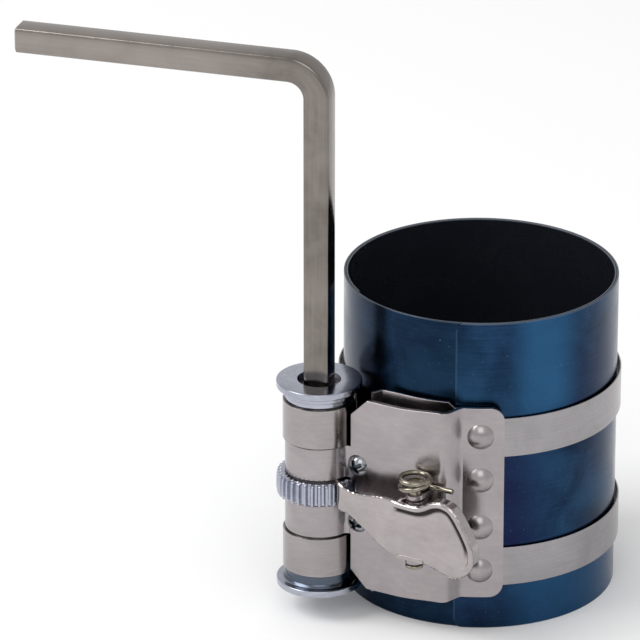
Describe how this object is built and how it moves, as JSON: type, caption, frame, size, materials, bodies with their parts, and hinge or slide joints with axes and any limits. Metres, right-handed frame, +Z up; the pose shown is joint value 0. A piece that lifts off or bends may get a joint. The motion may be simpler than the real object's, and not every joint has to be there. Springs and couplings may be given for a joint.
{
  "type": "piston ring compressor",
  "caption": "Ratchet piston ring compressor: coiled blued-steel sleeve with two bands winding on a spindle turned by an L-shaped square key, and a spring-loaded release lever.",
  "frame": {"origin": "on the axis of the bore of the coiled sleeve, in the plane of its lower rim", "axes": "+Z up along the sleeve axis, -Y out of the face of the hinge plate, +X along the plate from the spindle to the rivets"},
  "size_m": [0.1317, 0.0923, 0.1432],
  "materials": {
    "blued_steel": "satin, blued",
    "band_steel": "satin",
    "nickel_plate": "bright nickel",
    "zinc_plate": "bright zinc",
    "key_steel": "dull",
    "pin_steel": "satin"
  },
  "bodies": {
    "frame": {"sleeve": "blued_steel", "upper_band": "band_steel", "lower_band": "band_steel", "front_plate": "nickel_plate", "back_plate": "nickel_plate", "rivet_1": "nickel_plate", "rivet_2": "nickel_plate", "rivet_3": "nickel_plate", "rivet_4": "nickel_plate", "knuckle_screw_upper": "zinc_plate", "knuckle_screw_lower": "zinc_plate", "pivot_pin": "pin_steel", "pawl_spring": "pin_steel"},
    "spindle": {"spindle_shaft": "band_steel", "top_flange": "zinc_plate", "bottom_flange": "zinc_plate", "ratchet_wheel": "zinc_plate", "upper_band_coil": "band_steel", "lower_band_coil": "band_steel"},
    "key": {"key": "key_steel"},
    "lever": {"release_lever": "nickel_plate"}
  },
  "joints": [
    {"name": "spindle_turn", "type": "hinge", "parent": "frame", "child": "spindle", "pos_m": [-0.02339, -0.03782, 0], "axis": [0, 0, 1], "continuous": true},
    {"name": "key_lift", "type": "slide", "parent": "spindle", "child": "key", "axis": [0, 0, 1], "range_m": [0, 0.055]},
    {"name": "lever_press", "type": "hinge", "parent": "frame", "child": "lever", "pos_m": [0.0063, -0.04362, 0], "axis": [0, 0, 1], "range_deg": [0, 12], "stiffness_Nm_per_rad": 0.08, "springref_deg": -20.05}
  ]
}
